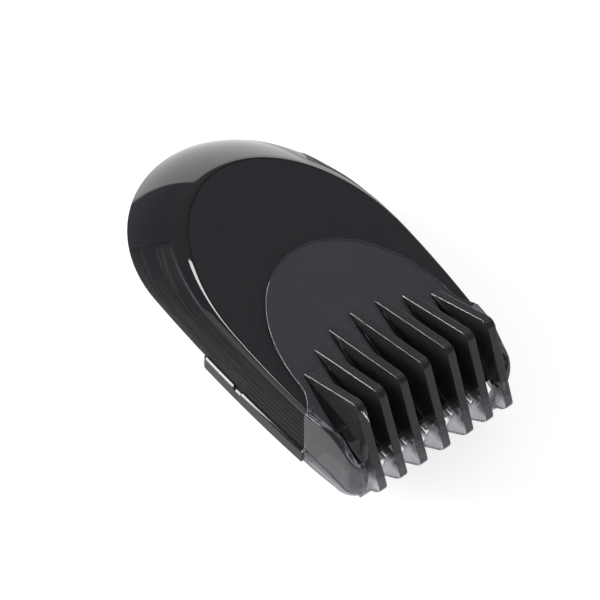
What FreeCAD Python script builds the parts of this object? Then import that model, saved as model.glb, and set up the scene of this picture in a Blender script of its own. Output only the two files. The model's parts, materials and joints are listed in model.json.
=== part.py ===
import FreeCAD, Part
import math
import os
import re
import PartDesign
import Sketcher

# Click-on trimmer head with a sliding guide comb.
# Frame: the origin is on the drive axis at the bottom face of the mounting collar.
# +Z goes up out of the oval face, -Y points at the comb's teeth, X runs across the head.

DIMENSIONS = {
    # how far a cutting tool reaches past the face it cuts
    "over": 1.0,
    # housing outlines: rear end, widest place, half width, half width at the front edge
    "face_z": 22.0, "face_rear": 15.8, "face_widest": -16.5, "face_half": 20.05, "face_front_half": 19.2,
    "mid_z": 16.0, "mid_rear": 24.6, "mid_widest": -5.5, "mid_half": 21.75, "mid_front_half": 19.7,
    "belt_z": 8.6, "belt_rear": 32.4, "belt_widest": 6.5, "belt_half": 22.5, "belt_front_half": 19.8,
    "waist_z": 5.6, "waist_inset": 1.2,
    "floor_z": 3.0, "floor_inset": 3.2, "floor_thick": 1.6,
    "body_front": -37.5, "shell_wall": 1.6, "fit_gap": 0.05,
    # oval face plate
    "plate_inset": 0.3, "plate_thick": 1.4, "plate_ledge": 2.8, "notch_half": 16.7, "notch_rear": -28.5,
    # grip panels on both flanks
    "grip_depth": 0.9, "grip_proud": 0.1,
    "grip_rear_low": 19.0, "grip_rear_high": 9.2, "grip_top_rear": 19.2, "grip_top_front": 19.8,
    "grip_bottom": 8.9,
    # collar and drive
    "collar_outer": 11.0, "collar_bore": 8.6, "spigot_radius": 10.15,
    "coupling_radius": 5.2, "coupling_low": 0.8, "coupling_top": 5.0, "socket_radius": 2.2, "socket_depth": 2.6,
    "spindle_radius": 1.5, "spindle_top": 12.2, "bush_radius": 2.8, "running_gap": 0.04,
    "eccentric_radius": 3.6, "eccentric_low": 10.4, "crank_radius": 1.0, "crank_throw": 0.75, "crank_top": 14.6,
    "chassis_low": 8.7, "chassis_top": 10.2, "chassis_half": 12.0, "chassis_rear": 11.6, "chassis_front": -37.0,
    "boss_low": 5.5, "boss_radius": 4.6,
    # rocking lever
    "pivot_y": -20.0, "pivot_radius": 1.5, "pivot_boss": 3.4, "pivot_seat": 12.8, "pivot_top": 15.4,
    "lever_low": 12.9, "lever_top": 14.2, "fork_half": 4.4, "fork_gap_half": 2.6, "fork_rear": 2.4,
    "peg_y": -42.0, "peg_radius": 1.2, "arm_half": 2.4,
    # cutting unit
    "base_half": 15.2, "base_front": -46.2, "base_top": 10.5,
    "fixed_half": 13.8, "fixed_tip": -49.2, "fixed_rear": -39.4, "fixed_top": 11.3,
    "moving_half": 12.9, "moving_tip": -48.5, "moving_rear": -40.0, "moving_low": 11.33, "moving_top": 12.1,
    "tooth_pitch": 1.5, "slot_mouth": 0.95, "slot_root": 0.5, "slot_deep": 3.4,
    # nose
    "nose_half": 16.6, "nose_tip_half": 15.4, "nose_tip_y": -47.6, "nose_tip_z": 14.55, "nose_wall": 1.3,
    # screws: clearance hole, biting hole, and posts they sit in
    "small_clear": 0.95, "small_bite": 0.82, "big_clear": 1.12, "big_bite": 1.02, "head_room": 2.05,
    "shell_post": 2.4, "shell_post_top": 15.0, "shell_hole_top": 12.2, "tub_post": 3.0, "chassis_post": 2.2,
    # guide comb
    "tongue_low": 22.05, "tongue_top": 23.0, "tongue_rear": -8.2, "tongue_half": 17.2, "tongue_long": 25.0,
    "rib_thick": 1.7, "rib_near": 5.3, "rib_mid": 9.94, "rib_outer": 14.55,
    "rib_start": -25.4, "rib_start_near": -26.2, "rib_start_mid": -28.2, "rib_start_outer": -31.1,
    "crest_y": -46.4, "crest_z": 32.0, "comb_tip_y": -54.0, "comb_tip_z": 12.5,
    "blade_guard_y": -48.9, "blade_guard_z": 8.9, "rail_rear": -45.4,
    "cheek_thick": 1.4, "cheek_radius": 60.0, "cheek_x": 19.9, "cheek_rear": -37.65, "corner_x": 18.4,
    "corner_radius": 4.2, "comb_front": -50.2, "arm_low": 6.3, "arm_top": 8.5, "arm_rear": -11.0,
    # length selector under the housing
    "bay_half": 11.0, "bay_front": -33.9, "bay_rear": -12.3, "bay_top": 7.5,
    "cover_top": 4.0, "cover_half": 14.2, "cover_front": -35.0, "cover_rear": -11.5,
    "carriage_low": 4.05, "carriage_top": 6.2, "carriage_half": 4.6, "carriage_front": -28.0,
    "carriage_rear": -17.0, "select_x": -6.0, "select_y": -22.5,
    "carrier_low": 6.3, "carrier_top": 7.4, "carrier_front": -29.4, "carrier_rear": -12.5,
    "cam_pin": 1.2, "cam_slot_half": 1.26, "comb_travel": 4.0, "select_travel": 12.0,
    "button_low": 1.9, "button_half": 2.9, "button_long": 3.4, "slot_half": 4.0,
}
PARTS = []

doc = FreeCAD.newDocument("TrimmerHead")
sheet = doc.addObject("Spreadsheet::Sheet", "Dims")
for row, (alias, size) in enumerate(DIMENSIONS.items(), 1):
    sheet.set("A%d" % row, alias)
    sheet.set("B%d" % row, str(size))
    sheet.setAlias("B%d" % row, alias)
doc.recompute()


def bind(text):
    """Write a size such as 'belt_z - 1' the way an expression needs it."""
    def full_name(word):
        return "Dims." + word.group() if word.group() in DIMENSIONS else word.group()
    return re.sub(r"[a-z]\w+", full_name, str(text))


def value(text):
    """The present value of a size written with the sheet's names."""
    return float(sheet.evalExpression(bind(text)))


def new_body(label, x="0", y="0", exported=True):
    """A body with its own name, placed at x, y."""
    body = doc.addObject("PartDesign::Body", label)
    body.Label = label
    body.setExpression("Placement.Base.x", bind(x))
    body.setExpression("Placement.Base.y", bind(y))
    if exported:
        PARTS.append(body)
    return body


def new_sketch(body, role, offset="0"):
    """A sketch on one of the body's origin planes, moved along that plane's normal."""
    sketch = body.newObject("Sketcher::SketchObject", body.Label + "_sketch")
    plane = [feature for feature in body.Origin.OriginFeatures if feature.Role == role][0]
    sketch.AttachmentSupport = (plane, "")
    sketch.MapMode = "FlatFace"
    sketch.setExpression("AttachmentOffset.Base.z", bind(offset))
    return sketch


def drive(sketch, kind, *place):
    """Add one driving constraint whose size comes from the sheet."""
    text = place[-1]
    index = sketch.addConstraint(Sketcher.Constraint(kind, *place[:-1], value(text)))
    sketch.setExpression("Constraints[%d]" % index, bind(text))


def fix_point(sketch, edge, end, x, y):
    """Hold one end of an edge at x, y."""
    drive(sketch, "DistanceX", -1, 1, edge, end, x)
    drive(sketch, "DistanceY", -1, 1, edge, end, y)


def outline(sketch, corners, closed=True, ends_free=False):
    """Edges through the corners. A third entry makes the edge after that corner an arc of this radius:
    it bulges to the right of the way of travel, or to the left when the radius is negative. An open chain
    with free ends leaves its first and last points for another edge to hold."""
    points = [FreeCAD.Vector(value(corner[0]), value(corner[1]), 0) for corner in corners]
    ends = []
    last = len(corners) if closed else len(corners) - 1
    for number in range(last):
        here, there = points[number], points[(number + 1) % len(points)]
        if len(corners[number]) == 2:
            ends.append((sketch.addGeometry(Part.LineSegment(here, there), False), 1, 2))
            continue
        radius_text = corners[number][2]
        radius = value(radius_text)
        start, stop = (here, there) if radius > 0 else (there, here)
        chord = stop - start
        reach = math.sqrt(radius ** 2 - chord.Length ** 2 / 4)
        centre = (start + stop) / 2 + FreeCAD.Vector(-chord.y, chord.x, 0).normalize() * reach
        whole = Part.Circle(centre, FreeCAD.Vector(0, 0, 1), abs(radius))
        arc = sketch.addGeometry(Part.ArcOfCircle(whole, whole.parameter(start), whole.parameter(stop)), False)
        drive(sketch, "Radius", arc, "abs(%s)" % radius_text)
        ends.append((arc, 1, 2) if radius > 0 else (arc, 2, 1))
    for (edge, _, stop), (after, start, _) in zip(ends, ends[1:] + (ends[:1] if closed else [])):
        sketch.addConstraint(Sketcher.Constraint("Coincident", edge, stop, after, start))
    for (edge, start, _), corner in list(zip(ends, corners))[1 if ends_free else 0:]:
        fix_point(sketch, edge, start, corner[0], corner[1])
    if not closed and not ends_free:
        fix_point(sketch, ends[-1][0], ends[-1][2], corners[-1][0], corners[-1][1])
    return ends


def rectangle(sketch, left, front, right, rear):
    """A closed rectangle between two corners."""
    outline(sketch, [(left, front), (right, front), (right, rear), (left, rear)])


def circle(sketch, x, y, radius):
    """A full circle."""
    shape = Part.Circle(FreeCAD.Vector(value(x), value(y), 0), FreeCAD.Vector(0, 0, 1), value(radius))
    edge = sketch.addGeometry(shape, False)
    fix_point(sketch, edge, 3, x, y)
    drive(sketch, "Radius", edge, radius)


def rear_arc(sketch, rear, widest, half):
    """The rear half of an ellipse, from its right end over the rear to its left end."""
    rear_y, widest_y, half_x = value(rear), value(widest), value(half)
    ellipse = Part.Ellipse(FreeCAD.Vector(0, rear_y, 0), FreeCAD.Vector(-half_x, widest_y, 0),
                           FreeCAD.Vector(0, widest_y, 0))
    arc = sketch.addGeometry(Part.ArcOfEllipse(ellipse, -math.pi / 2, math.pi / 2), False)
    sketch.exposeInternalGeometry(arc)
    long_axis, short_axis = arc + 1, arc + 2
    sketch.addConstraint(Sketcher.Constraint("PointOnObject", arc, 3, -2))
    sketch.addConstraint(Sketcher.Constraint("Vertical", long_axis))
    sketch.addConstraint(Sketcher.Constraint("Horizontal", arc, 1, arc, 3))
    sketch.addConstraint(Sketcher.Constraint("Horizontal", arc, 2, arc, 3))
    drive(sketch, "DistanceY", -1, 1, arc, 3, widest)
    drive(sketch, "Distance", long_axis, "2 * (%s - (%s))" % (rear, widest))
    drive(sketch, "Distance", short_axis, "2 * (%s)" % half)
    return arc


def egg(sketch, rear, widest, half, front, front_half):
    """Egg outline: half an ellipse behind, two shallow arcs along the sides, a straight front edge."""
    arc = rear_arc(sketch, rear, widest, half)
    widest_y, half_x = value(widest), value(half)
    drop, narrowing = widest_y - value(front), half_x - value(front_half)
    radius = (drop ** 2 + narrowing ** 2) / (2 * narrowing)
    sweep = math.asin(drop / radius)
    up = FreeCAD.Vector(0, 0, 1)
    right_circle = Part.Circle(FreeCAD.Vector(half_x - radius, widest_y, 0), up, radius)
    left_circle = Part.Circle(FreeCAD.Vector(radius - half_x, widest_y, 0), up, radius)
    right = sketch.addGeometry(Part.ArcOfCircle(right_circle, -sweep, 0), False)
    left = sketch.addGeometry(Part.ArcOfCircle(left_circle, math.pi, math.pi + sweep), False)
    left_end = FreeCAD.Vector(-value(front_half), value(front), 0)
    right_end = FreeCAD.Vector(value(front_half), value(front), 0)
    front_line = sketch.addGeometry(Part.LineSegment(left_end, right_end), False)
    for first, end, second, start in ((right, 2, arc, 1), (arc, 2, left, 1), (left, 2, front_line, 1),
                                      (front_line, 2, right, 1)):
        sketch.addConstraint(Sketcher.Constraint("Coincident", first, end, second, start))
    sketch.addConstraint(Sketcher.Constraint("Horizontal", right, 3, arc, 3))
    sketch.addConstraint(Sketcher.Constraint("Horizontal", left, 3, arc, 3))
    fix_point(sketch, front_line, 2, front_half, front)
    fix_point(sketch, front_line, 1, "-(%s)" % front_half, front)


def level(body, name, offset, inset, front="body_front"):
    """The housing's outline at one of its named levels, pulled in by an inset."""
    sketch = new_sketch(body, "XY_Plane", offset)
    egg(sketch, "%s_rear - (%s)" % (name, inset), "%s_widest" % name, "%s_half - (%s)" % (name, inset),
        front, "%s_front_half - (%s)" % (name, inset))
    return sketch


def pad(body, sketch, length, up=True):
    """Raise a sketch along its normal, or against it."""
    feature = body.newObject("PartDesign::Pad", body.Label + "_pad")
    feature.Profile = sketch
    feature.Reversed = not up
    feature.setExpression("Length", bind(length))
    return feature


def pocket(body, sketch, depth, up=False):
    """Cut a sketch against its normal, or along it when up is set."""
    feature = body.newObject("PartDesign::Pocket", body.Label + "_pocket")
    feature.Profile = sketch
    feature.Reversed = up
    feature.setExpression("Length", bind(depth))
    return feature


def cut_through(body, sketch):
    """Cut a sketch through the whole body both ways."""
    feature = body.newObject("PartDesign::Pocket", body.Label + "_through")
    feature.Profile = sketch
    feature.SideType = "Symmetric"
    feature.Length = 200.0
    return feature


def loft(body, kind, sketches):
    """Loft through the sketches, adding or cutting."""
    feature = body.newObject("PartDesign::" + kind, body.Label + "_loft")
    feature.Profile = sketches[0]
    feature.Sections = sketches[1:]
    return feature


def slab(body, x_half, front, rear, low, top):
    """Add a block centred on X."""
    sketch = new_sketch(body, "XY_Plane", low)
    rectangle(sketch, "-(%s)" % x_half, front, x_half, rear)
    return pad(body, sketch, "%s - (%s)" % (top, low))


def slab_cut(body, x_half, front, rear, low, top):
    """Cut a block centred on X."""
    sketch = new_sketch(body, "XY_Plane", low)
    rectangle(sketch, "-(%s)" % x_half, front, x_half, rear)
    return pocket(body, sketch, "%s - (%s)" % (top, low), up=True)


def column(body, x, y, radius, low, top):
    """Add a round column."""
    sketch = new_sketch(body, "XY_Plane", low)
    circle(sketch, x, y, radius)
    return pad(body, sketch, "%s - (%s)" % (top, low))


def bore(body, x, y, radius, low, top):
    """Cut a round hole between two heights."""
    sketch = new_sketch(body, "XY_Plane", low)
    circle(sketch, x, y, radius)
    return pocket(body, sketch, "%s - (%s)" % (top, low), up=True)


def side_profile(body, corners, x_low, x_high):
    """Add a plate lying between two X values with its outline drawn in the Y-Z plane."""
    sketch = new_sketch(body, "YZ_Plane", x_low)
    outline(sketch, corners)
    return pad(body, sketch, "%s - (%s)" % (x_high, x_low))


def boolean(kind, label, base, tool, exported=True):
    """Cut, Fuse or Common of two shapes."""
    result = doc.addObject("Part::" + kind, label)
    result.Label = label
    result.Base = base
    result.Tool = tool
    if exported:
        PARTS.append(result)
    return result


def housing_skin(body, kind, inset, low="belt_z", high="face_z", top_inset=None, front="body_front"):
    """Loft through the belt, middle and face outlines of the housing."""
    sketches = [level(body, "belt", low, inset, front), level(body, "mid", "mid_z", inset, front),
                level(body, "face", high, top_inset or inset, front)]
    return loft(body, kind, sketches)


GRIP_CORNERS = [("grip_rear_low", "grip_bottom"), ("grip_rear_high", "grip_top_rear"),
                ("body_front - over", "grip_top_front"), ("body_front - over", "grip_bottom")]
HOUSING_SCREWS = [("-11", "17"), ("11", "17")]
CHASSIS_SCREWS = [("-9.5", "9"), ("9.5", "9"), ("-9.5", "-9"), ("9.5", "-9")]
BASE_SCREWS = [("-6", "-33.5"), ("6", "-33.5")]
BLADE_SCREWS = [("-11", "-42.4"), ("11", "-42.4")]
COVER_SCREWS = [("-12.6", "-30"), ("12.6", "-30"), ("-12.6", "-13.6"), ("12.6", "-13.6")]


def make_upper_shell_and_grips():
    """Gloss shell with the recess for the face plate, and the two grip panels let into its flanks."""
    shell = new_body("shell_blank", exported=False)
    housing_skin(shell, "AdditiveLoft", "0")
    pocket(shell, level(shell, "face", "face_z", "plate_inset", "body_front - over"), "plate_thick")
    housing_skin(shell, "SubtractiveLoft", "shell_wall", high="face_z - 2", top_inset="plate_ledge",
                 front="body_front - over")
    pocket(shell, level(shell, "face", "face_z", "plate_ledge", "body_front - over"), "2.2")
    slab_cut(shell, "notch_half", "body_front - over", "notch_rear", "face_z - 2.5", "face_z + over")
    for x, y in HOUSING_SCREWS:
        column(shell, x, y, "shell_post", "belt_z", "shell_post_top")
        bore(shell, x, y, "big_bite", "belt_z", "shell_hole_top")
    envelope = new_body("grip_envelope", exported=False)
    housing_skin(envelope, "AdditiveLoft", "-grip_proud")
    core = new_body("grip_core", exported=False)
    housing_skin(core, "AdditiveLoft", "grip_depth", low="belt_z - 0.5", high="face_z + 0.5",
                 front="body_front - over")
    band = boolean("Cut", "grip_band", envelope, core, exported=False)
    remaining = shell
    for side, x_low, x_high in (("left", "-30", "-5"), ("right", "5", "30")):
        region = new_body("grip_region_" + side, exported=False)
        side_profile(region, GRIP_CORNERS, x_low, x_high)
        grip = boolean("Common", "side_grip_" + side, band, region)
        last = side == "right"
        remaining = boolean("Cut", "upper_shell" if last else "shell_left_cut", remaining, grip, exported=last)


def make_face_plate():
    """Flat matte oval plate with a notch for the nose."""
    plate = new_body("face_plate")
    sketch = level(plate, "face", "face_z - plate_thick + 0.01", "plate_inset + fit_gap", "body_front + 0.05")
    pad(plate, sketch, "plate_thick - 0.01")
    slab_cut(plate, "notch_half", "body_front - over", "notch_rear", "face_z - 3", "face_z + over")


def make_nose_cover():
    """Sloping cover from the face down to the blades."""
    nose = new_body("nose_cover")
    corners = [("notch_rear - 0.05", "face_z"), ("nose_tip_y", "nose_tip_z"),
               ("nose_tip_y - 0.3", "nose_tip_z - 1.25"), ("nose_tip_y + 1", "nose_tip_z - 1.25"),
               ("nose_tip_y + 1", "fixed_top + 0.1"), ("body_front - 0.1", "fixed_top + 0.1"),
               ("body_front - 0.1", "17.2"), ("notch_rear - 0.05", "face_z - nose_wall")]
    side_profile(nose, corners, "-nose_half", "nose_half")
    hollow = [("body_front + 0.1", "17.24"), ("nose_tip_y + 0.9", "nose_tip_z - 0.95"),
              ("nose_tip_y + 0.9", "9"), ("body_front + 0.1", "9")]
    sketch = new_sketch(nose, "YZ_Plane", "-14.7")
    outline(sketch, hollow)
    pocket(nose, sketch, "29.4", up=True)
    for sign in ("", "-"):
        sketch = new_sketch(nose, "XY_Plane", "face_z")
        outline(sketch, [(sign + "(nose_half + 0.1)", "body_front - 0.1"),
                         (sign + "nose_tip_half", "nose_tip_y - 0.4"),
                         (sign + "(nose_half + 1)", "nose_tip_y - 0.4"),
                         (sign + "(nose_half + 1)", "body_front - 0.1")])
        pocket(nose, sketch, "20")


def make_lower_housing():
    """Tub under the belt line with the selector bay, the comb arms' grooves and the collar's seat."""
    tub = new_body("lower_housing")
    loft(tub, "AdditiveLoft", [level(tub, "belt", "floor_z", "floor_inset"),
                               level(tub, "belt", "waist_z", "waist_inset"),
                               level(tub, "belt", "belt_z", "0.25")])
    hollow = new_sketch(tub, "XY_Plane", "belt_z")
    egg(hollow, "belt_rear - 3.2", "belt_widest", "belt_half - 3.2", "-10.6", "belt_half - 3.6")
    pocket(tub, hollow, "belt_z - floor_z - floor_thick")
    for x, y in CHASSIS_SCREWS:
        column(tub, x, y, "chassis_post", "floor_z + 1", "chassis_low - 0.02")
        bore(tub, x, y, "small_bite", "floor_z + 1.2", "belt_z + over")
    for x, y in HOUSING_SCREWS:
        column(tub, x, y, "tub_post", "floor_z + 1", "belt_z - 0.02")
        bore(tub, x, y, "big_clear", "floor_z - over", "belt_z + over")
        bore(tub, x, y, "head_room", "floor_z - over", "floor_z + 2.4")
    bore(tub, "0", "0", "spigot_radius + fit_gap", "floor_z - over", "floor_z + floor_thick + 0.5")
    slab_cut(tub, "bay_half", "bay_front", "bay_rear", "floor_z - over", "bay_top")
    slab_cut(tub, "25", "-21", "bay_rear", "carrier_low - fit_gap", "bay_top")
    slab_cut(tub, "cover_half + fit_gap", "cover_front - fit_gap", "cover_rear + fit_gap", "floor_z - over",
             "cover_top + 0.02")
    for sign in ("", "-"):
        groove = new_sketch(tub, "XY_Plane", "arm_low - 0.1")
        outline(groove, [(sign + "26", "-8.9"), (sign + "20.3", "-8.9"), (sign + "18.45", "body_front - 0.5"),
                         (sign + "26", "body_front - 0.5")])
        pocket(tub, groove, "5", up=True)
        hook_room = new_sketch(tub, "XY_Plane", "arm_low - 0.1")
        outline(hook_room, [(sign + "21", "-8.9"), (sign + "18.6", "-8.9"), (sign + "18.6", "-21"),
                            (sign + "21", "-21")])
        pocket(tub, hook_room, "5", up=True)
    for x, y in COVER_SCREWS:
        bore(tub, x, y, "small_bite", "floor_z", "floor_z + 3")


def make_mount_collar():
    """Ring that clicks onto the handle, with three latch notches in its rim."""
    collar = new_body("mount_collar")
    column(collar, "0", "0", "collar_outer", "0", "floor_z - 0.01")
    column(collar, "0", "0", "spigot_radius", "floor_z - 0.5", "floor_z + floor_thick")
    bore(collar, "0", "0", "collar_bore", "-1", "floor_z + floor_thick + 1")
    notch = new_sketch(collar, "XY_Plane", "1")
    rectangle(notch, "collar_outer - 1.2", "-2", "collar_outer + 1", "2")
    first = pocket(collar, notch, "1", up=True)
    doc.recompute()
    ring = collar.newObject("PartDesign::PolarPattern", "collar_notches")
    ring.Originals = [first]
    ring.Axis = ([feature for feature in collar.Origin.OriginFeatures if feature.Role == "Z_Axis"][0], [""])
    ring.Angle = 360.0
    ring.Occurrences = 3
    collar.Tip = ring


def make_drive():
    """Coupling, spindle, eccentric and the parts that carry them."""
    coupling = new_body("drive_coupling")
    column(coupling, "0", "0", "coupling_radius", "coupling_low", "coupling_top")
    bore(coupling, "0", "0", "socket_radius", "coupling_low - over", "coupling_low + socket_depth")
    bore(coupling, "0", "0", "spindle_radius", "coupling_low", "coupling_top + over")
    for across, along in (("0.35", "3.6"), ("3.6", "0.35")):
        key = new_sketch(coupling, "XY_Plane", "coupling_low - over")
        rectangle(key, "-" + across, "-" + along, across, along)
        pocket(coupling, key, "1.8", up=True)
    spindle = new_body("drive_spindle")
    column(spindle, "0", "0", "spindle_radius", "coupling_low + socket_depth", "spindle_top")
    eccentric = new_body("eccentric")
    column(eccentric, "0", "0", "eccentric_radius", "eccentric_low", "spindle_top + 0.6")
    bore(eccentric, "0", "0", "spindle_radius", "eccentric_low - over", "spindle_top")
    column(eccentric, "crank_throw", "0", "crank_radius", "spindle_top", "crank_top")
    bush = new_body("spindle_bush")
    column(bush, "0", "0", "bush_radius", "boss_low", "chassis_top")
    bore(bush, "0", "0", "spindle_radius + running_gap", "boss_low - over", "chassis_top + over")
    washer = new_body("thrust_washer")
    column(washer, "0", "0", "3.9", "coupling_top + 0.05", "boss_low - 0.05")
    bore(washer, "0", "0", "spindle_radius + 0.1", "coupling_top - over", "boss_low + over")


def make_chassis():
    """Inner frame that carries the spindle, the lever's pivot and the blades' seat."""
    chassis = new_body("drive_chassis")
    slab(chassis, "chassis_half", "chassis_front", "chassis_rear", "chassis_low", "chassis_top")
    column(chassis, "0", "0", "boss_radius", "boss_low", "chassis_low + 0.5")
    column(chassis, "0", "pivot_y", "pivot_boss", "chassis_low + 0.5", "pivot_seat")
    bore(chassis, "0", "0", "bush_radius", "boss_low - over", "chassis_top + over")
    bore(chassis, "0", "pivot_y", "pivot_radius", "chassis_low + 0.3", "pivot_seat + over")
    for x, y in CHASSIS_SCREWS:
        bore(chassis, x, y, "small_clear", "chassis_low - over", "chassis_top + over")
    for x, y in BASE_SCREWS:
        bore(chassis, x, y, "small_bite", "chassis_low + 0.2", "chassis_top + over")
    slab_cut(chassis, "5", "-16", "-5.5", "chassis_low - over", "chassis_top + over")
    pin = new_body("lever_pivot_pin")
    column(pin, "0", "pivot_y", "pivot_radius", "chassis_low + 0.3", "pivot_top")
    clip = new_body("lever_clip")
    column(clip, "0", "pivot_y", "2.8", "lever_top + 0.1", "lever_top + 0.6")
    bore(clip, "0", "pivot_y", "pivot_radius", "lever_top - over", "lever_top + 2")


def make_lever():
    """Rocking lever: a fork around the crank pin behind, a peg into the cutter in front."""
    lever = new_body("drive_lever")
    blank = new_sketch(lever, "XY_Plane", "lever_low")
    outline(blank, [("-fork_half", "fork_rear"), ("-fork_half", "-6"), ("-arm_half", "pivot_y + 3"),
                    ("-arm_half", "peg_y - 2"), ("arm_half", "peg_y - 2"), ("arm_half", "pivot_y + 3"),
                    ("fork_half", "-6"), ("fork_half", "fork_rear")])
    pad(lever, blank, "lever_top - lever_low")
    column(lever, "0", "pivot_y", "3.4", "lever_low", "lever_top")
    slab_cut(lever, "fork_gap_half", "-4.4", "fork_rear + over", "lever_low - over", "lever_top + over")
    column(lever, "0", "peg_y", "peg_radius", "moving_low + 0.15", "lever_low + 0.1")
    bore(lever, "0", "pivot_y", "pivot_radius + running_gap", "lever_low - over", "lever_top + over")


def tooth_row(body, half, tip):
    """Cut the slots between the teeth along the blade's front edge."""
    sketch = new_sketch(body, "XY_Plane", "fixed_top")
    left = "-(%s) + tooth_pitch" % half
    outline(sketch, [(left + " - slot_mouth / 2", tip + " - 0.1"), (left + " + slot_mouth / 2", tip + " - 0.1"),
                     (left + " + slot_root / 2", tip + " + slot_deep"),
                     (left + " - slot_root / 2", tip + " + slot_deep")])
    slot = cut_through(body, sketch)
    doc.recompute()
    count = int(round(2 * value(half) / value("tooth_pitch"))) - 1
    row = body.newObject("PartDesign::LinearPattern", body.Label + "_teeth")
    row.Originals = [slot]
    row.Direction = (sketch, ["H_Axis"])
    row.Length = value("tooth_pitch") * (count - 1)
    row.Occurrences = count
    row.setExpression("Length", bind("tooth_pitch") + " * %d" % (count - 1))
    body.Tip = row


def make_blades():
    """Seat, fixed blade, moving blade, its holder and the spring that presses them together."""
    base = new_body("blade_base")
    side_profile(base, [("body_front - 0.1", "base_top"), ("base_front", "base_top"), ("base_front", "9.4"),
                        ("body_front - 0.1", "6.6")], "-base_half", "base_half")
    slab(base, "10", "body_front - 0.5", "-30", "chassis_top + 0.02", "chassis_top + 1.2")
    slab(base, "9.2", "-39.2", "-37.4", "base_top - 0.5", "moving_top - 0.02")
    slab_cut(base, "6.8", "-39.4", "-37", "base_top + 0.9", "moving_top + over")
    for x, y in BASE_SCREWS:
        bore(base, x, y, "small_clear", "chassis_top - 1", "chassis_top + 2")
    for x, y in BLADE_SCREWS:
        bore(base, x, y, "big_bite", "5", "base_top + over")
        bore(base, x, y, "1.95", "5", "9.2")
    fixed = new_body("fixed_blade")
    slab(fixed, "fixed_half", "fixed_tip", "fixed_rear", "base_top", "fixed_top")
    for x, y in BLADE_SCREWS:
        bore(fixed, x, y, "big_bite", "base_top - over", "fixed_top + over")
    tooth_row(fixed, "fixed_half - 0.2", "fixed_tip")
    moving = new_body("moving_blade")
    slab(moving, "moving_half", "moving_tip", "moving_rear", "moving_low", "moving_top")
    slab_cut(moving, "peg_radius + 0.04", "peg_y - 1.6", "peg_y + 1.6", "moving_low - over", "moving_top + over")
    tooth_row(moving, "moving_half - 0.1", "moving_tip")
    holder = new_body("cutter_holder")
    slab(holder, "6", "peg_y - 2.6", "peg_y + 2", "moving_top", "moving_top + 0.72")
    slab_cut(holder, "peg_radius + 0.04", "peg_y - 1.6", "peg_y + 1.6", "moving_top - over", "moving_top + 2")
    spring = new_body("blade_spring")
    route = new_sketch(spring, "XY_Plane", "moving_top + 0.33")
    outline(route, [("-8", "-45"), ("-8", "-38.2"), ("8", "-38.2"), ("8", "-45")], closed=False)
    wire = new_sketch(spring, "XZ_Plane", "45")
    circle(wire, "-8", "moving_top + 0.33", "0.3")
    pipe = spring.newObject("PartDesign::AdditivePipe", "blade_spring_wire")
    pipe.Profile = wire
    pipe.Spine = (route, ["Edge1", "Edge2", "Edge3"])
    pipe.Transition = "Round corner"


def rib(body, x, start):
    """One rib of the comb: a ramp up to the crest, then the front edge down around the blade's tips."""
    corners = [(start, "tongue_low"), ("notch_rear", "face_z + 0.45"), ("nose_tip_y + 0.2", "nose_tip_z + 1"),
               ("blade_guard_y - 3.1", "blade_guard_z + 7.3", "-30"), ("blade_guard_y", "blade_guard_z"),
               ("rail_rear", "arm_low + 1.1"), ("rail_rear - 0.3", "arm_low - 0.3", "-9"),
               ("comb_tip_y + 1", "comb_tip_z - 1.6", "-2.4"),
               ("comb_tip_y + 0.5", "comb_tip_z + 2.4", "-120"),
               ("crest_y - 1", "crest_z - 1.1", "-1.1"), ("crest_y + 0.9", "crest_z - 0.3"),
               (start, "tongue_top")]
    side_profile(body, corners, "%s - rib_thick / 2" % x, "%s + rib_thick / 2" % x)


def comb_cheek(body, side):
    """Side wall of the comb with its round front corner; side is 1 for right and -1 for left."""
    wall = new_sketch(body, "XY_Plane", "arm_low - 0.3")
    flank = "%d * cheek_radius" % side
    corner = "%d * corner_radius" % side
    inner_flank = "%d * (cheek_radius - cheek_thick)" % -side
    inner_corner = "%d * (corner_radius - cheek_thick)" % -side
    outline(wall, [("%d * (corner_x - corner_radius)" % side, "comb_front", corner),
                   ("%d * corner_x" % side, "comb_front + corner_radius", flank),
                   ("%d * cheek_x" % side, "cheek_rear"),
                   ("%d * (cheek_x - cheek_thick)" % side, "cheek_rear", inner_flank),
                   ("%d * (corner_x - cheek_thick)" % side, "comb_front + corner_radius", inner_corner),
                   ("%d * (corner_x - corner_radius)" % side, "comb_front + cheek_thick")])
    pad(body, wall, "tongue_top - arm_low + 0.3")


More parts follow.
